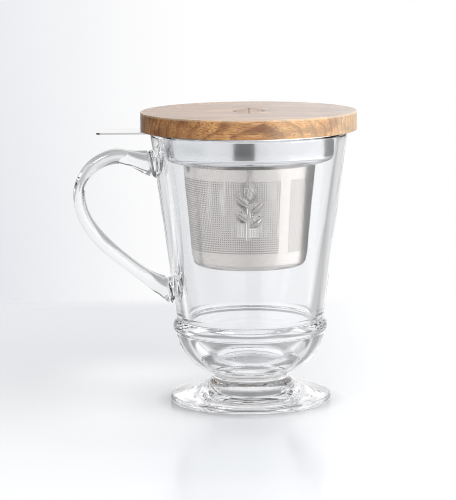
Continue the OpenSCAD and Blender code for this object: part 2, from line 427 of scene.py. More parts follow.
def from_screen(red, green, blue):
    """Linear colour of a screen colour from 0 to 255."""
    c = np.array([red, green, blue]) / 255
    return tuple(float(v) for v in np.where(c <= 0.04045, c / 12.92, ((c + 0.055) / 1.055) ** 2.4))


def new_material(name, paint):
    """A material whose surface is what paint(finish) returns."""
    material = bpy.data.materials.new(name)
    material.use_nodes = True
    finish = Finish(material.node_tree)
    finish.show(paint(finish))
    return material


# ---------------------------------------------------------------- materials

# Linear colours
GLASS_TINT = (0.925, 0.932, 0.945)
COLLAR_GREY = (0.66, 0.665, 0.675)
BASKET_GREY = (0.585, 0.556, 0.53)
RING_LIGHT = (0.93, 0.93, 0.935)
RING_DARK = (0.86, 0.86, 0.87)
SEAL_LIGHT = (0.88, 0.88, 0.86)
SEAL_DARK = (0.8, 0.8, 0.78)

# Screen colours of the lid: its side; its two ends, with painted shade at the left end and a painted sheen at
# the right end; its top face, a painted sheen that is darker at the left, with wood streaks; and its edge, a
# painted highlight
WOOD_PALE = from_screen(220, 169, 107)
WOOD_TAN = from_screen(181, 123, 69)
WOOD_BROWN = from_screen(112, 66, 34)
PORE_BROWN = from_screen(88, 52, 30)
FLECK_BROWN = from_screen(120, 74, 40)
STRIPE_PALE = from_screen(232, 204, 160)
LEFT_SHADE_BROWN = from_screen(128, 80, 46)
RIGHT_SHEEN_GREY = from_screen(186, 170, 140)
TOP_SHADED_LEFT_GREY = from_screen(158, 138, 118)
TOP_SHEEN_RIGHT_GREY = from_screen(176, 170, 172)
TOP_STREAK_BROWN = from_screen(132, 116, 106)
EDGE_HIGHLIGHT_PALE = from_screen(232, 214, 188)
CARVED_BROWN = from_screen(76, 58, 48)

# The heart of the trunk that the lid is sawn from, as it lies from the middle of the lid's top, and its rings
heart_back = 150.0
heart_below = 42.0
heart_sway_back = 14.0
heart_sway_up = 5.0
ring_gap = 3.1

# Where the lid's side and top change, from left to right: from, to and softness in millimetres. The ends of
# the side and the change over the top go from painted shade at the left to painted sheen at the right
STRIPE = (10.0, 31.0, 5.0)
SHADED_LEFT_END = (-12.0, -26.0)
SHEEN_RIGHT_END = (30.0, 42.0)
TOP_SHADE_TO_SHEEN = (-35.0, 40.0)
stripe_sway = 12.0
top_face_deep = 0.5
eased_out, eased_in = 0.5, 1.3


def clear_glass(f):
    """Pressed glass: faint waves of the mould, drawn out upwards, on a fire-polished surface."""
    wave = f.noise(f.place((0.12, 0.12, 0.02)), detail=2.0)
    return f.node("ShaderNodeBsdfPrincipled", {}, {
        "Base Color": colour(GLASS_TINT), "Roughness": 0.0, "IOR": 1.5, "Transmission Weight": 1.0,
        "Normal": f.bump(wave, 0.25, 0.3)})


def turned_steel(f, base, rough, lines):
    """Drawn or spun sheet: fine lines run round the axis and change its gloss and height."""
    fine = f.noise(f.place((0.05, 0.05, lines)), detail=4.0, roughness=0.7)
    broad = f.noise(f.place((0.03, 0.03, 0.15)), detail=2.0)
    return f.node("ShaderNodeBsdfPrincipled", {}, {
        "Base Color": f.mix(f.step(fine, 0.3, 0.7), base, [0.97 * b for b in base]), "Metallic": 1.0,
        "Roughness": rough + 0.05 * fine + 0.04 * broad, "Normal": f.bump(fine, 0.1, 0.01)})


def collar_steel(f):
    """Bright drawn sheet with close lines."""
    return turned_steel(f, COLLAR_GREY, 0.12, 6.0)


def basket_steel(f):
    """Warmer satin sheet with wider lines."""
    return turned_steel(f, BASKET_GREY, 0.2, 3.0)


def ring_steel(f):
    """Flat strip, brushed along the tab."""
    fine = f.noise(f.place((0.15, 5.0, 5.0)), detail=4.0, roughness=0.7)
    return f.node("ShaderNodeBsdfPrincipled", {}, {
        "Base Color": f.mix(fine, RING_LIGHT, RING_DARK), "Metallic": 1.0,
        "Roughness": 0.16 + 0.12 * fine, "Normal": f.bump(fine, 0.3, 0.01)})


def stripe_and_painted_ends(f, tone, x, warp):
    """Lays a pale stripe right of the middle over a tone, then painted shade as a browner left end and a
    painted sheen as a greyer right end.
    """
    tone = f.mix(0.2 * f.window(x + stripe_sway * warp, *STRIPE), tone, STRIPE_PALE)
    # painted shade: the left end is browner
    tone = f.mix(f.step(x, *SHADED_LEFT_END, end=0.36), tone, LEFT_SHADE_BROWN)
    # painted sheen: the right end is greyer
    return f.mix(f.step(x, *SHEEN_RIGHT_END, end=0.46), tone, RIGHT_SHEEN_GREY)


def painted_top_sheen(f, tone, x, y, z):
    """Lays the top face over a tone as a painted sheen, greyer than the wood, darker at the left and with
    wood streaks, then a painted highlight on the eased edge and the dark carving.
    """
    streaks = f.noise(f.place((0.02, 0.3, 0.3)), detail=4.0, roughness=0.6)
    # painted sheen on the top face, with painted shade towards the left
    top_sheen = f.mix(f.step(x, *TOP_SHADE_TO_SHEEN), TOP_SHADED_LEFT_GREY, TOP_SHEEN_RIGHT_GREY)
    top_sheen = f.mix(f.step(streaks, 0.35, 0.65, end=0.35), top_sheen, TOP_STREAK_BROWN)
    tone = f.mix(f.step(z, lid_top - top_face_deep, lid_top, end=0.5), tone, top_sheen)
    radius = (x * x + y * y) ** 0.5
    near_rim = f.step(radius, lid_r - eased_in, lid_r - eased_out)
    near_top = f.step(z, lid_top - lid_edge_round, lid_top - top_face_deep)
    # painted highlight along the eased top edge
    tone = f.mix(0.32 * (near_rim * near_top), tone, EDGE_HIGHLIGHT_PALE)
    carved = f.node("ShaderNodeAttribute", {"attribute_name": "carved"}, {}, out="Fac")
    return f.mix(f.step(carved, 0.2, 0.8, end=0.8), tone, CARVED_BROWN)


def lid_wood(f):
    """Oiled hardwood sawn across its rings: grain from left to right, rings upright at both ends, dark pores.

    The ring at a point is its distance from the trunk's heart divided by the ring gap. The fraction of that
    number says how late in its year the wood grew. The heart sways a little along the grain.
    """
    warp = f.noise(f.place((0.02, 0.04, 0.05)), detail=2.0) - 0.5
    place = f.place((1, 1, 1))
    x, y, z = (f.part(place, axis) for axis in range(3))
    back = y + heart_back + heart_sway_back * warp
    up = z - lid_top + heart_below + heart_sway_up * warp
    ring = (back * back + up * up) ** 0.5 / ring_gap
    year = f.node("ShaderNodeMath", {"operation": "FRACT"}, {0: ring})
    patch = f.noise(f.place((0.03, 0.09, 0.16)), detail=3.0)
    late = f.step(year, 0.45, 0.9) * (1 - f.step(year, 0.92, 1.0)) * f.step(patch, 0.3, 0.6, start=0.5)
    fibre = f.noise(f.place((0.1, 1.3, 1.3)), detail=5.0, roughness=0.75)
    pores = f.step(f.noise(f.place((0.14, 1.9, 1.9)), detail=3.0, roughness=0.6), 0.54, 0.62)
    fleck = f.noise(f.place((0.7, 1.4, 1.4)), detail=2.0)
    tone = f.mix(f.step(fibre, 0.36, 0.64), WOOD_PALE, WOOD_TAN)
    tone = f.mix(0.75 * late, tone, WOOD_BROWN)
    tone = f.mix(f.step(patch, 0.42, 0.64, end=0.62), tone, WOOD_BROWN)
    tone = f.mix(0.62 * pores, tone, PORE_BROWN)
    tone = f.mix(f.step(fleck, 0.4, 0.7, end=0.3), tone, FLECK_BROWN)
    # painted shade at the left end and a painted sheen at the right end
    tone = stripe_and_painted_ends(f, tone, x, warp)
    # painted sheen on the top and a painted highlight on its edge
    tone = painted_top_sheen(f, tone, x, y, z)
    height = fibre * 0.5 - pores - 0.3 * late
    return f.node("ShaderNodeBsdfPrincipled", {}, {
        "Base Color": tone, "Roughness": 0.4 + 0.14 * fibre, "Normal": f.bump(height, 0.4, 0.1),
        "Coat Weight": 0.6, "Coat Roughness": 0.25})


def seal_silicone(f):
    """Milky silicone with a faint mottle."""
    mottle = f.noise(f.place((0.4, 0.4, 0.8)), detail=3.0)
    return f.node("ShaderNodeBsdfPrincipled", {}, {
        "Base Color": f.mix(mottle, SEAL_LIGHT, SEAL_DARK), "Roughness": 0.42 + 0.1 * mottle,
        "Subsurface Weight": 0.3, "Subsurface Scale": 0.002})


# ---------------------------------------------------------------- glass


def leaf(x, z, base, lean, length, width):
    """Height from 0 to 1 of a leaf that starts at base and points lean degrees left of up.

    Across the leaf the height is the root of 1 - (distance / half width) squared, less a groove at the midrib
    and a hollow inside the rim. The half width is a sine arch along the leaf, fullest below its middle.
    """
    lean = np.radians(lean)
    dx, dz = x - base[0], z - base[1]
    run = (dx * -np.sin(lean) + dz * np.cos(lean)) / length
    off = dx * np.cos(lean) + dz * np.sin(lean)
    inside = np.clip(run, 0, 1)
    fullness = 0.8
    half = width / 2 * np.sin(np.pi * inside**fullness) + 1e-6
    dome = np.sqrt(np.clip(1 - (off / half) ** 2, 0, 1))
    rib = np.exp(-((off / (0.1 * width)) ** 2)) * (run > 0.06) * (run < 0.92)
    hollow = np.exp(-(((np.abs(off) / half - 0.6) / 0.2) ** 2))
    arch = np.sin(np.pi * inside) ** 0.35
    return dome * arch * (1 - 0.6 * rib) * (1 - 0.25 * hollow) * (run > 0) * (run < 1)


# Base across, base up, lean in degrees, length and width of each leaf
SPRIG_LEAVES = (
    ((0.2, 3.4), -3, 10.4, 5.0),
    ((0.0, 0.9), 50, 8.4, 4.4),
    ((0.1, -1.2), -50, 8.6, 4.4),
    ((-0.2, -5.2), 54, 7.6, 4.2),
    ((-0.1, -7.4), -52, 7.8, 4.2),
)


def sprig(x, z):
    """Height from 0 to 1 of a generic sprig: five leaves on a stem that sways to one side."""
    stem_x = 0.5 * np.sin(z / 6.0) - 0.1
    stem_half_w, stem_low, stem_high = 0.75, -13.5, 3.0
    stem = np.sqrt(np.clip(1 - ((x - stem_x) / stem_half_w) ** 2, 0, 1)) * (z > stem_low) * (z < stem_high)
    height = 0.7 * stem
    for base, lean, length, width in SPRIG_LEAVES:
        height = np.maximum(height, leaf(x, z, base, lean, length, width))
    return height


def glass_profile():
    """Radius and height round the whole section, from under the foot over the rim to the floor's middle."""
    edge_r = foot_r - edge_bulge / 2
    waist_low = [waist_r + waist_deep, waist_h - waist_w / 2]
    waist_high = [waist_r + waist_deep, waist_h + waist_w / 2]
    bead_top = neck_h - bead_gap
    bead_low = [neck_r + bead_step, bead_top - bead_w]
    lip = glass_h - lip_round
    quarter = lip_round * (1 - np.sqrt(0.5))
    outside = np.concatenate([
        [[0, recess_h], [recess_r - recess_taper, recess_h], [recess_r, foot_rise]],
        [[foot_contact_r - foot_land, 0]],
        arc([foot_contact_r, 0], [edge_r, foot_edge_h], edge_bulge),
        arc([edge_r - edge_ledge, foot_edge_h], waist_low, -foot_hollow),
        arc(waist_low, waist_high, -waist_deep),
        arc(waist_high, bead_low, bowl_round),
        arc(bead_low, [neck_r, bead_top], bead_proud),
        [[neck_r, neck_h]],
        arc([outer_r(lip), lip], [rim_r - lip_round, glass_h], quarter)])
    inside = np.concatenate([
        arc([rim_in_r + lip_round, glass_h], [inner_r(lip), lip], quarter),
        arc([inner_r(neck_h), neck_h], [floor_r, floor_h], -bowl_bulge),
        [[0, floor_h]]])
    return softened(np.concatenate([outside, inside]), glass_softness)


def behind_sprig(line):
    """True at the points of the section that lie on the outer wall, at the height of the sprig."""
    r, z = line.T
    return (r > inner_r(z) + rim_wall / 2) & (np.abs(z - sprig_h) < sprig_half_h)


def glass_bowl():
    """The revolved glass with the sprig raised on its front, on a grid that is fine there."""
    def sprig_rows(line):
        """More rows behind the sprig."""
        return sprig_rows_per_mm * behind_sprig(line)

    profile = paced(glass_profile(), length_step=3.5, turn_step=4.0, focus=sprig_rows)
    front = -np.pi / 2
    reach = sprig_half_w / outer_r(sprig_h)
    fine = np.linspace(-reach, reach, sprig_columns)
    coarse = np.linspace(reach, TURN - reach, bowl_columns)[1:-1]
    angles = front + np.concatenate([fine, coarse])
    grid = revolved(profile, angles)
    r, z = profile.T
    across = np.outer(r, np.angle(np.exp(1j * (angles - front))))
    rise = sprig_proud * sprig(across, (z - sprig_h)[:, None]) * behind_sprig(profile)[:, None]
    rise *= np.abs(across) < sprig_half_w
    grid[..., 0] += rise * np.cos(angles)
    grid[..., 1] += rise * np.sin(angles)
    return spindle(grid)


# Share of the handle's reach, drop, thickness and width at each row, from the upper root to the lower
HANDLE_ROWS = np.array([
    [-0.06, 0.012, 2.3, 1.25], [0.06, 0, 2.05, 1.2], [0.29, -0.032, 1.26, 1.04], [0.50, -0.047, 1.22, 1],
    [0.75, 0.016, 1.09, 1], [0.935, 0.14, 0.94, 1], [1, 0.287, 1, 1], [0.95, 0.455, 1.06, 1],
    [0.79, 0.616, 1.16, 1], [0.533, 0.772, 1.07, 1], [0.287, 0.898, 1.17, 1.06], [0.078, 0.973, 1.78, 1.2],
    [-0.05, 1.012, 2.15, 1.28]])


def smooth_rows(rows, steps):
    """Rows on the smooth curve through the given rows: a Catmull-Rom spline with doubled ends."""
    a = np.concatenate([rows[:1], rows[:-2]])
    b, c = rows[:-1], rows[1:]
    d = np.concatenate([rows[2:], rows[-1:]])
    t = np.linspace(0, 1, steps, endpoint=False)[:, None, None]
    curve = b + t * (c - a) / 2 + t**2 * (a - 2.5 * b + 2 * c - d / 2) + t**3 * (1.5 * (b - c) + (d - a) / 2)
    return np.concatenate([curve.transpose(1, 0, 2).reshape(-1, rows.shape[1]), rows[-1:]])


def handle_bar():
    """The bowed bar: a rounded-oblong section carried along the middle line, square to its way.

    A groove runs round each root at a set distance from the glass wall. Its depth there falls off as
    exp(-(offset / half width) squared), and each point moves towards the middle line by it.
    """
    reach, drop, thick, wide = HANDLE_ROWS.T
    z = handle_top_h - drop * handle_drop
    x = -outer_r(z) - reach * handle_reach
    bar = smooth_rows(np.stack([x, z, thick * handle_t, wide * handle_w], 1), handle_steps)
    gone = along(bar[:, :2])
    last_root = gone[-1] - root_l
    where = np.concatenate([
        np.arange(0, root_l, root_row_gap), np.arange(root_l, last_root, bar_row_gap),
        np.linspace(last_root, gone[-1], root_rows)])
    bar = np.stack([np.interp(where, gone, bar[:, k]) for k in range(4)], 1)
    way = np.gradient(bar[:, :2], axis=0)
    way /= np.linalg.norm(way, axis=1)[:, None]
    turn = np.linspace(0, TURN, handle_columns, endpoint=False)
    across = np.sign(np.cos(turn)) * np.abs(np.cos(turn)) ** handle_squareness * bar[:, 2:3] / 2
    sideways = np.sign(np.sin(turn)) * np.abs(np.sin(turn)) ** handle_squareness * bar[:, 3:4] / 2
    rings = np.stack([bar[:, :1] - way[:, 1:] * across, sideways, bar[:, 1:2] + way[:, :1] * across], -1)
    middle = rings.mean(1, keepdims=True)
    clear = np.hypot(rings[..., 0], rings[..., 1]) - outer_r(rings[..., 2])
    depth = root_groove_deep * np.exp(-(((clear - root_groove_at) / root_groove_w) ** 2))
    spoke = rings - middle
    rings = middle + spoke * (1 - depth / np.linalg.norm(spoke, axis=2))[..., None]
    ends = [np.repeat(middle[k][None], rings.shape[1], 1) for k in (0, -1)]
    return spindle(np.concatenate([ends[0], rings, ends[1]]))


def joined(first, second, name):
    """One mesh object that is the union of two closed ones, which are removed."""
    union = first.modifiers.new("union", "BOOLEAN")
    union.operation = "UNION"
    union.solver = "EXACT"
    union.object = second
    bpy.context.view_layer.update()
    mesh = bpy.data.meshes.new_from_object(first.evaluated_get(bpy.context.evaluated_depsgraph_get()))
    whole = bpy.data.objects.new(name, mesh)
    bpy.context.scene.collection.objects.link(whole)
    for used in (first, second):
        bpy.data.objects.remove(used)
    return whole


def make_glass():
    """Bowl and handle as one piece of glass."""
    bowl = new_piece("bowl", *glass_bowl())
    bar = new_piece("bar", *handle_bar())
    glass = joined(bowl, bar, "glass_body")
    glass.data.shade_smooth()
    glass.data.set_sharp_from_angle(angle=np.radians(glass_crease))
    glass.data.materials.clear()
    glass.data.materials.append(new_material("clear_glass", clear_glass))
    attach(glass, "mug")
    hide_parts("glass_mug", "handle")


# ---------------------------------------------------------------- infuser


def make_collar():
    """Drawn cup: one sheet that runs from the neck over the land and the shoulder up to the ring."""
    neck_r_top = basket_r(basket_top) - basket_t - collar_t / 2
    neck_r_foot = basket_r(basket_top - neck_len) - basket_t - collar_t / 2
    middle = collar_t / 2
    path = np.array([
        [neck_r_foot, basket_top - neck_len], [neck_r_top, basket_top + middle],
        [basket_top_r + basket_t + shoulder_land, basket_top + middle],
        [collar_r - middle, collar_foot + middle], [collar_r - middle, glass_h]])
    # The big corner gets its own radius, and the others are softened
    corner, before, after = path[3], path[2] - path[3], path[4] - path[3]
    before, after = before / np.linalg.norm(before), after / np.linalg.norm(after)
    half = np.arccos(before @ after) / 2
    cut = collar_round / np.tan(half)
    sag = collar_round * (1 - np.sin(half))
    bend = arc(corner + before * cut, corner + after * cut, sag)
    line = softened(np.concatenate([path[:3], bend, path[4:]]), collar_softness)
    loop = sheet_loop(paced(line, length_step=3.0, turn_step=7.0), collar_t)
    angles = np.linspace(0, TURN, collar_columns, endpoint=False)
    grid = revolved(loop, angles)
    piece = new_piece("collar_shell", grid, skin(*grid.shape[:2], rows_close=True).tolist())
    piece.data.materials.append(new_material("collar_steel", collar_steel))
    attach(piece, "infuser")
    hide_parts("collar")


def hole_edges(count, step):
    """Both edges of each of a number of holes that lie a step apart, from half a step on."""
    middles = np.arange(count)[:, None] + 0.5
    return step * (middles + np.array([-0.5, 0.5]) * hole_share)


def make_basket_wall():
    """Rolled cone of perforated sheet.

    Grid lines run along both edges of each row and column of holes. The quads between the two edges of a row
    and of a column are left out, and four quads through the sheet line each hole.
    """
    zone_low, zone_high = basket_foot + band_bottom, basket_top - band_top
    mid_r = basket_r((zone_low + zone_high) / 2)
    free = TURN - seam_w / mid_r
    rows = int((zone_high - zone_low) / hole_pitch)
    columns = int(free * mid_r / hole_pitch)
    row_edges = zone_low + hole_edges(rows, (zone_high - zone_low) / rows)
    column_edges = hole_edges(columns, free / columns)
    z = np.concatenate([[cap_top - cap_overlap], row_edges.ravel(), [basket_top]])
    seam_lines = np.linspace(free, TURN, 5)[1:-1]
    start = np.radians(seam_angle) + (TURN - free) / 2
    angles = start + np.concatenate([column_edges.ravel(), seam_lines])
    n_rows, n_columns = len(z), len(angles)
    faces = [revolved(np.stack([basket_r(z) - inset, z], 1), angles) for inset in (0.0, mesh_t)]
    i, j = np.meshgrid(np.arange(n_rows - 1), np.arange(n_columns), indexing="ij")
    hole = (i % 2 == 1) & (i < 2 * rows) & (j % 2 == 0) & (j < 2 * columns)
    quads = skin(n_rows, n_columns)
    count = n_rows * n_columns
    outer = quads[~hole.ravel()]
    inner = outer[:, ::-1] + count
    cut = quads[hole.ravel()]
    walls = [np.stack([cut[:, b], cut[:, a], cut[:, a] + count, cut[:, b] + count], 1)
             for a, b in ((0, 1), (1, 2), (2, 3), (3, 0))]
    k = np.arange(n_columns)
    after = (k + 1) % n_columns
    last = (n_rows - 1) * n_columns
    low_edge = np.stack([k + count, after + count, after, k], 1)
    high_edge = np.stack([last + k, last + after, last + after + count, last + k + count], 1)
    everything = np.concatenate([outer, inner, *walls, low_edge, high_edge])
    piece = new_piece("basket_mesh", np.concatenate(faces), everything.tolist())
    piece.data.materials.append(new_material("basket_steel", basket_steel))
    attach(piece, "infuser")
    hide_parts("basket_wall")
    return piece.data.materials[0]


# ---------------------------------------------------------------- lid


def leaf_lines(x, y):
    """Depth from 0 to 1 of a leaf drawn in carved lines: its outline, its midrib and slanting veins.

    The outline is a sine arch on each side. A line's depth is exp(-(distance / line width) squared).
    """
    run = (y + mark_l / 2) / mark_l
    half = mark_w / 2 * np.sin(np.pi * np.clip(run, 0, 1) ** 0.85)
    inside = (run > 0) & (run < 1)
    outline = np.exp(-(((np.abs(x) - half) / mark_line) ** 2)) * inside
    midrib = np.exp(-((x / mark_line) ** 2)) * (run > -0.12) * (run < 0.93)
    way = (y - vein_rise * np.abs(x)) / vein_gap
    off = (way - np.round(way)) * vein_gap / vein_stretch
    veins = np.exp(-((off / mark_line) ** 2)) * inside * (np.abs(x) < half) * (run > 0.12) * (run < 0.85)
    return np.maximum(np.maximum(outline, midrib), 0.7 * veins)


def make_lid():
    """Turned disc and plug with eased edges, and a leaf mark carved into the middle of its top."""
    plug_r = collar_r - collar_t - plug_gap
    groove_low = plug_foot + (ring_top - plug_foot - seal_h) / 2
    outline = softened(np.array([
        [0, plug_foot], [plug_r, plug_foot], [plug_r, groove_low], [plug_r - groove_deep, groove_low],
        [plug_r - groove_deep, groove_low + seal_h], [plug_r, groove_low + seal_h], [plug_r, ring_top],
        [lid_r, ring_top], [lid_r, lid_top], [0, lid_top]]), lid_edge_round / 2)

    def carving_rows(line):
        """More rows under the leaf mark."""
        return mark_rows_per_mm * ((line[:, 0] < mark_reach) & (line[:, 1] > lid_top - 1))

    profile = paced(outline, length_step=4.0, turn_step=12.0, focus=carving_rows)
    profile[-1] = [0, lid_top]
    angles = np.linspace(0, TURN, lid_columns, endpoint=False)
    grid = revolved(profile, angles)
    on_top = (profile[:, 1] > lid_top - 0.01)[:, None]
    mark = leaf_lines(grid[..., 0], grid[..., 1]) * on_top
    grid[..., 2] -= carving_deep * mark
    points, faces = spindle(grid)
    carved = np.concatenate([mark[1:-1].ravel(), [0.0], [mark[-1, 0]]])
    piece = new_piece("lid_disc", points, faces, attributes={"carved": carved})
    piece.data.materials.append(new_material("lid_wood", lid_wood))
    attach(piece, "lid")
    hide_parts("lid_board")


# ---------------------------------------------------------------- room

# Camera in metres and degrees, and its focal length in pixels of a picture 456 wide and 500 high
CAMERA_PLACE = (0, -1.050, 0.2191)
CAMERA_AIM = (-0.00937, 0, 0.0656)
CAMERA_ROLL = -0.54
SENSOR_MM = 36.0
FOCAL_PX = 2454.0
LONG_SIDE_PX = 500.0

# Table top, in millimetres
table_half_w = 850.0
table_front = -430.0
table_back = 255.0
table_fade = 20.0
table_spare = 50.0
foot_shadow_r = 43.0
foot_shadow_in_r = 33.0
TABLE_BACK_TO_FRONT = (150.0, -110.0)
TABLE_LEFT_TO_RIGHT = (-40.0, 150.0)

# Painted shade: the table is greyer at the left, more at the back than at the front
TABLE_SHADED_LEFT_BACK = from_screen(199, 200, 205)
TABLE_SHADED_LEFT_FRONT = from_screen(229, 230, 233)
TABLE_RIGHT = from_screen(246, 247, 249)
# Painted reflection of the mug before the foot, painted light beside it and a painted shadow under it
TABLE_MUG_REFLECTION = from_screen(214, 218, 223)
TABLE_SHADOW_LIFT = from_screen(250, 251, 253)
TABLE_FOOT_SHADOW = from_screen(140, 143, 148)

# Patches of painted reflection of the mug before the foot and of painted light beside the foot: from, to and
# softness of the edges across and away, in millimetres
MUG_REFLECTION_PATCH = ((-40.0, 25.0, 25.0), (-150.0, -50.0, 20.0))
# painted light that lifts the mug's shadow beside the foot
SHADOW_LIFT_PATCH = ((-78.0, -22.0, 26.0), (-60.0, 80.0, 36.0))

# Name of each lamp, its place and size in metres, and its power in watts
LAMPS = (
    ("key_lamp", (1.1, -0.55, 0.7), 1.2, 4.0),
    ("fill_lamp", (-1.0, -0.6, 0.9), 1.2, 1.5))
LAMP_AIM = (0, 0, 0.06)

# Colours of the wall that the camera sees
WALL_WHITE = (1.0, 1.0, 1.0)
WALL_GREY = (0.77, 0.78, 0.825)

# Brightest tone that a table of tones may hold
TONE_TOP = 2.5

# Tones of the room by turn in degrees, 0 towards the camera and 90 to the right
SEEN_THROUGH_GLASS = (
    (-180, 1.0), (-158, 0.97), (-148, 0.85), (-138, 0.72), (-119, 0.72), (-107, 1.05), (-60, 1.0), (0, 1.0),
    (83, 0.88), (97, 0.86), (133, 0.88), (139, 0.76), (150, 0.7), (158, 0.95), (180, 1.0))
SEEN_IN_STEEL = (
    (-180, 1.0), (-158, 0.97), (-144, 0.95), (-120, 1.4), (-60, 1.5), (0, 1.4), (35, 1.5), (112, 1.5),
    (119, 1.4), (124, 0.75), (138, 0.6), (144, 0.9), (160, 1.0), (180, 1.0))
SEEN_IN_GLOSS = (
    (-180, 1.0), (-170, 0.95), (-155, 0.35), (-140, 0.08), (-90, 0.08), (-50, 0.2), (-10, 1.2), (20, 1.6),
    (57, 2.4), (85, 2.2), (118, 1.5), (128, 0.5), (152, 0.5), (160, 1.2), (170, 1.15), (180, 1.0))

# Tones by height above the level in degrees, on the camera's side and behind
HEIGHTS_IN_FRONT = (
    (-90, 1.0), (-56, 1.0), (-53, 0.3), (-49, 0.3), (-46, 1.0), (-34, 1.0), (-32, 0.35), (-29, 0.35),
    (-27, 1.0), (-6, 1.0), (-4, 0.5), (-1, 0.5), (2, 0.05), (4.5, 0.05), (6.5, 1.05), (15, 1.05), (17, 0.1),
    (19, 0.1), (21, 1.05), (29, 1.05), (32, 0.1), (42, 0.1), (47, 0.9), (90, 0.9))
HEIGHTS_BEHIND = (
    (-90, 1.0), (-56, 1.0), (-50, 0.35), (-44, 0.35), (-40, 1.0), (-28, 1.0), (-24, 0.42), (-17, 0.42),
    (-13.5, 1.0), (14, 1.05), (16, 0.2), (18, 0.2), (20, 1.05), (30, 1.05), (36, 0.15), (50, 0.15), (60, 0.9),
    (90, 0.9))

# The same behind for rays of one wall, on the left and on the right
HEIGHTS_LEFT = (
    (-90, 1.0), (-44, 0.3), (-39, 0.35), (-34, 0.85), (-30, 0.6), (-26, 0.43), (-19, 0.47), (-14, 0.55),
    (-9, 0.52), (-6.5, 0.62), (-4, 0.85), (3, 0.85), (5, 0.7), (11, 0.65), (14, 0.3), (28, 0.38), (34, 1.0),
    (90, 0.9))
HEIGHTS_RIGHT = (
    (-90, 1.0), (-44, 0.3), (-39, 0.35), (-34, 0.85), (-30, 0.6), (-24, 0.48), (-14, 0.42), (-11, 0.6),
    (-8, 0.98), (14, 1.05), (16, 0.2), (18, 0.2), (20, 1.05), (30, 1.05), (36, 0.15), (50, 0.15), (60, 0.9),
    (90, 0.9))

# Dark and bright places of the room: lowest value, highest value and softness of the edges. Turn and height
# are in degrees, and slope is the height divided by the level distance.
OPENING = {"turn": (-20.0, 8.0, 1.0), "slope": (-0.23, 0.3, 0.02)}
OPENING_SILL = {"slope": (-0.184, -0.16, 0.006)}
SIDE_LIGHT = {"turn": (54.0, 116.0, 3.0), "slope": (-0.38, -0.2, 0.02)}
LEFT_FLAG = {"turn": (-150.0, -60.0, 4.0), "height": (-6.5, 13.0, 1.0)}
RIGHT_FLAG = {"turn": (115.0, 138.0, 2.0), "height": (-14.5, 5.0, 0.5)}
FAR_FLAG = {"turn": (138.0, 168.0, 2.0), "height": (-30.0, 5.0, 1.0)}
RIGHT_WALL = {"turn": (60.0, 168.0, 4.0)}
DIM_FRONT = {"turn": (-60.0, 22.0, 12.0)}
SOFT_BOX = {"turn": (-62.0, -34.0, 1.0), "height": (34.0, 58.0, 1.0)}
SOFT_BOX_TONE = 14.0

# How much of the tone each of them takes away or gives
OPENING_DARK = 0.94
SILL_LIFT = 0.14
RIGHT_WALL_DARK = 0.12
LEFT_FLAG_DARK = 0.6
RIGHT_FLAG_DARK = 0.92
FAR_FLAG_DARK = 0.92
CREASE_DARK = 0.75
DIM_FRONT_DARK = 0.6
SIDE_LIGHT_GAIN = 0.6


def make_camera():
    """Camera in front of the mug and a little above it, turned about its own line of sight by the roll."""
    place, aim, roll = Vector(CAMERA_PLACE), Vector(CAMERA_AIM), np.radians(CAMERA_ROLL)
    forward = (aim - place).normalized()
    level = forward.cross(Vector((0, 0, 1))).normalized()
    upright = level.cross(forward)
    right = level * np.cos(roll) + upright * np.sin(roll)
    up = upright * np.cos(roll) - level * np.sin(roll)
    data = bpy.data.cameras.new("camera")
    data.sensor_width = SENSOR_MM
    data.lens = FOCAL_PX / LONG_SIDE_PX * SENSOR_MM
    camera = bpy.data.objects.new("camera", data)
    camera.matrix_world = Matrix.Translation(place) @ Matrix((right, up, -forward)).transposed().to_4x4()
    bpy.context.scene.collection.objects.link(camera)
    bpy.context.scene.camera = camera


class Room:
    """Where a ray meets the room: its way x, y and z, its turn and height in degrees, and its slope.

    The turn is the arc tangent of x over -y, the height the arc sine of z, and aside the turn without sign.
    """

    def __init__(self, f):
        self.f = f
        way = f.node("ShaderNodeTexCoord", out="Generated")
        self.x, self.y, self.z = (f.part(way, axis) for axis in range(3))
        degrees = 180 / np.pi
        self.turn = f.node("ShaderNodeMath", {"operation": "ARCTAN2"}, {0: self.x, 1: 0 - self.y}) * degrees
        self.height = f.node("ShaderNodeMath", {"operation": "ARCSINE"}, {0: self.z}) * degrees
        self.slope = self.z / (self.x * self.x + self.y * self.y) ** 0.5
        self.aside = f.node("ShaderNodeMath", {"operation": "ABSOLUTE"}, {0: self.turn})

    def inside(self, limits):
        """1 inside a place of the room and 0 outside it."""
        windows = [self.f.window(getattr(self, key), *edges) for key, edges in limits.items()]
        both = windows[0]
        for another in windows[1:]:
            both = both * another
        return both

    def tones(self, table, angle, whole):
        """Tones of a table by an angle, which runs from minus half of whole to half of it."""
        stops = [(degrees / whole + 0.5, [tone / TONE_TOP] * 3) for degrees, tone in table]
        return TONE_TOP * self.f.node("ShaderNodeValToRGB", {"stops": stops}, {"Fac": angle / whole + 0.5})

    def by_turn(self, table):
        """Tones of a table by the turn."""
        return self.tones(table, self.turn, 360)

    def by_height(self, table):
        """Tones of a table by the height."""
        return self.tones(table, self.height, 180)


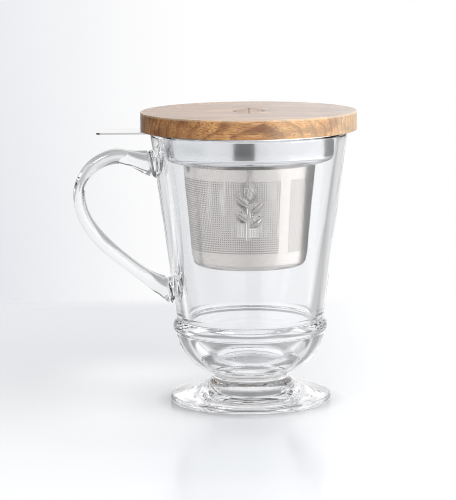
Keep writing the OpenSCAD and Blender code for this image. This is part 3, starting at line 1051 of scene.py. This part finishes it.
def room_through_glass(f, room):
    """The room as rays see it that come out of glass, from which Light Path tells three kinds apart.

    Reflected rays were turned back by steel or by the inside of glass. Inner rays are reflected ones that
    crossed three or more surfaces of glass. Rays of one wall crossed fewer and weren't turned back. Reflected
    rays see tones of their own, and so do rays of one wall in the back of the room. The opening is dark round
    the camera, the flags are dark boards at the left and behind on the right, and the crease is the dark line
    where steel reflects steel.
    """
    crossed, turned_back = f.path("Transmission Depth"), f.path("Glossy Depth")
    reflected = f.at_least(turned_back, 1)
    inner = f.at_least(crossed, 3) * reflected
    one_wall = (1 - reflected) * (1 - f.at_least(crossed, 3))
    sides = f.mix(
        f.step(room.turn, -1.0, 1.0), room.by_height(HEIGHTS_LEFT), room.by_height(HEIGHTS_RIGHT))
    behind = f.mix(one_wall, room.by_height(HEIGHTS_BEHIND), sides)
    rear = f.step(room.aside, 138.0, 150.0)
    heights = f.mix(rear, room.by_height(HEIGHTS_IN_FRONT), behind)
    opening = room.inside(OPENING) * (OPENING_DARK - SILL_LIFT * room.inside(OPENING_SILL))
    crease = f.at_least(crossed, 4) * f.at_least(turned_back, 2)
    crease = crease * f.step(room.height, -10.0, -25.0) * f.step(room.aside, 60.0, 45.0)
    tone = f.mix(reflected, room.by_turn(SEEN_THROUGH_GLASS), room.by_turn(SEEN_IN_STEEL))
    tone = tone * (1 - opening) * (1 + SIDE_LIGHT_GAIN * reflected * room.inside(SIDE_LIGHT)) * heights
    for share, dark in (
            (RIGHT_WALL_DARK, (reflected - inner) * room.inside(RIGHT_WALL)),
            (LEFT_FLAG_DARK, room.inside(LEFT_FLAG)),
            (RIGHT_FLAG_DARK, inner * room.inside(RIGHT_FLAG)),
            (FAR_FLAG_DARK, inner * room.inside(FAR_FLAG)),
            (CREASE_DARK, crease)):
        tone = tone * (1 - share * dark)
    return tone


def make_world():
    """White room. The camera sees a wall that is greyer at the left, above all near the table.

    Rays that come out of glass see room_through_glass, after steel behind the glass too. Other glossy rays
    see walls that get brighter to the right, a dim front and a soft box at the upper left. Dull surfaces are
    lit by an even room that is brighter on the right.
    """
    world = bpy.data.worlds.new("studio")
    bpy.context.scene.world = world
    world.use_nodes = True
    f = Finish(world.node_tree)
    room = Room(f)
    dim = room.inside(DIM_FRONT) * (1 - f.step(room.slope, -0.04, 0.0))
    gloss = room.by_turn(SEEN_IN_GLOSS) * (1 - DIM_FRONT_DARK * dim)
    gloss = gloss + SOFT_BOX_TONE * room.inside(SOFT_BOX)
    even = f.step(room.x, -0.8, 0.8, start=0.4, end=2.0)
    above, at_table = 0.167, 0.222
    left = 1 - f.step(room.x, -0.125, -0.015)
    shade = left * f.step(room.slope, -0.05, -0.17, start=above, end=at_table) / at_table
    surface = f.mix(f.path("Is Glossy Ray"), f.grey(even), f.grey(gloss))
    surface = f.mix(f.path("Is Transmission Ray"), surface, f.grey(room_through_glass(f, room)))
    surface = f.mix(f.path("Is Camera Ray"), surface, f.mix(shade, WALL_WHITE, WALL_GREY))
    f.show(f.node("ShaderNodeBackground", {}, {"Color": surface, "Strength": 1.0}), "ShaderNodeOutputWorld")


def table_white(f):
    """Glossy white table top that fades out at its edges.

    It has painted shade that makes it greyer to the left, most at the back, a painted reflection of the mug
    before the foot, painted light that makes it paler beside the foot and a painted shadow under it.
    """
    place = f.place((1, 1, 1))
    x, y = f.part(place, 0), f.part(place, 1)
    # painted shade towards the left
    left = f.mix(f.step(y, *TABLE_BACK_TO_FRONT), TABLE_SHADED_LEFT_BACK, TABLE_SHADED_LEFT_FRONT)
    tone = f.mix(f.step(x, *TABLE_LEFT_TO_RIGHT), left, TABLE_RIGHT)
    # a painted reflection of the mug before the foot, and painted light beside the foot
    for share, (across, away), tint in (
            (0.5, MUG_REFLECTION_PATCH, TABLE_MUG_REFLECTION), (0.75, SHADOW_LIFT_PATCH, TABLE_SHADOW_LIFT)):
        tone = f.mix(share * (f.window(x, *across) * f.window(y, *away)), tone, tint)
    radius = (x * x + y * y) ** 0.5
    # painted shadow on the table round and under the foot
    tone = f.mix(f.step(radius, foot_shadow_r, foot_shadow_in_r, end=0.3), tone, TABLE_FOOT_SHADOW)
    top = f.node("ShaderNodeBsdfPrincipled", {}, {
        "Base Color": tone, "Roughness": 0.16, "Specular IOR Level": 0.5})
    inside_across = f.window(x, -table_half_w, table_half_w, table_fade)
    inside = inside_across * f.window(y, table_front, table_back, table_fade)
    nothing = f.node("ShaderNodeBsdfTransparent")
    return f.node("ShaderNodeMixShader", {}, {0: inside, 1: nothing, 2: top})


def make_floor():
    """The table. Steel and glass see the room's floor in its place, which is as white."""
    side = table_half_w + table_spare
    front, back = table_front - table_spare, table_back + table_spare
    points = [[-side, front, 0], [side, front, 0], [side, back, 0], [-side, back, 0]]
    table = new_piece("table_top", np.array(points), [[0, 1, 2, 3]])
    table.data.materials.append(new_material("table_white", table_white))
    table.visible_glossy = False
    table.visible_transmission = False


def make_lamps():
    """A soft key lamp at the upper right and a weak one at the left, both turned to the mug."""
    for name, place, size, power in LAMPS:
        data = bpy.data.lights.new(name, "AREA")
        data.size = size
        data.energy = power
        lamp = bpy.data.objects.new(name, data)
        lamp.visible_glossy = False
        lamp.visible_transmission = False
        towards = Vector(LAMP_AIM) - Vector(place)
        turned = towards.to_track_quat("-Z", "Y").to_matrix().to_4x4()
        lamp.matrix_world = Matrix.Translation(Vector(place)) @ turned
        bpy.context.scene.collection.objects.link(lamp)


make_camera()
make_world()
make_floor()
make_lamps()
make_glass()
make_collar()
mesh_steel = make_basket_wall()
make_lid()
for node, material in (
        ("rim_ring", new_material("ring_steel", ring_steel)), ("basket_cap", mesh_steel),
        ("lid_seal", new_material("seal_silicone", seal_silicone))):
    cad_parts[node].data.materials.clear()
    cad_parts[node].data.materials.append(material)

scene = bpy.context.scene
scene.view_settings.view_transform = "Standard"
scene.cycles.max_bounces = 24
scene.cycles.glossy_bounces = 24
scene.cycles.transmission_bounces = 24
scene.cycles.filter_width = 1.0
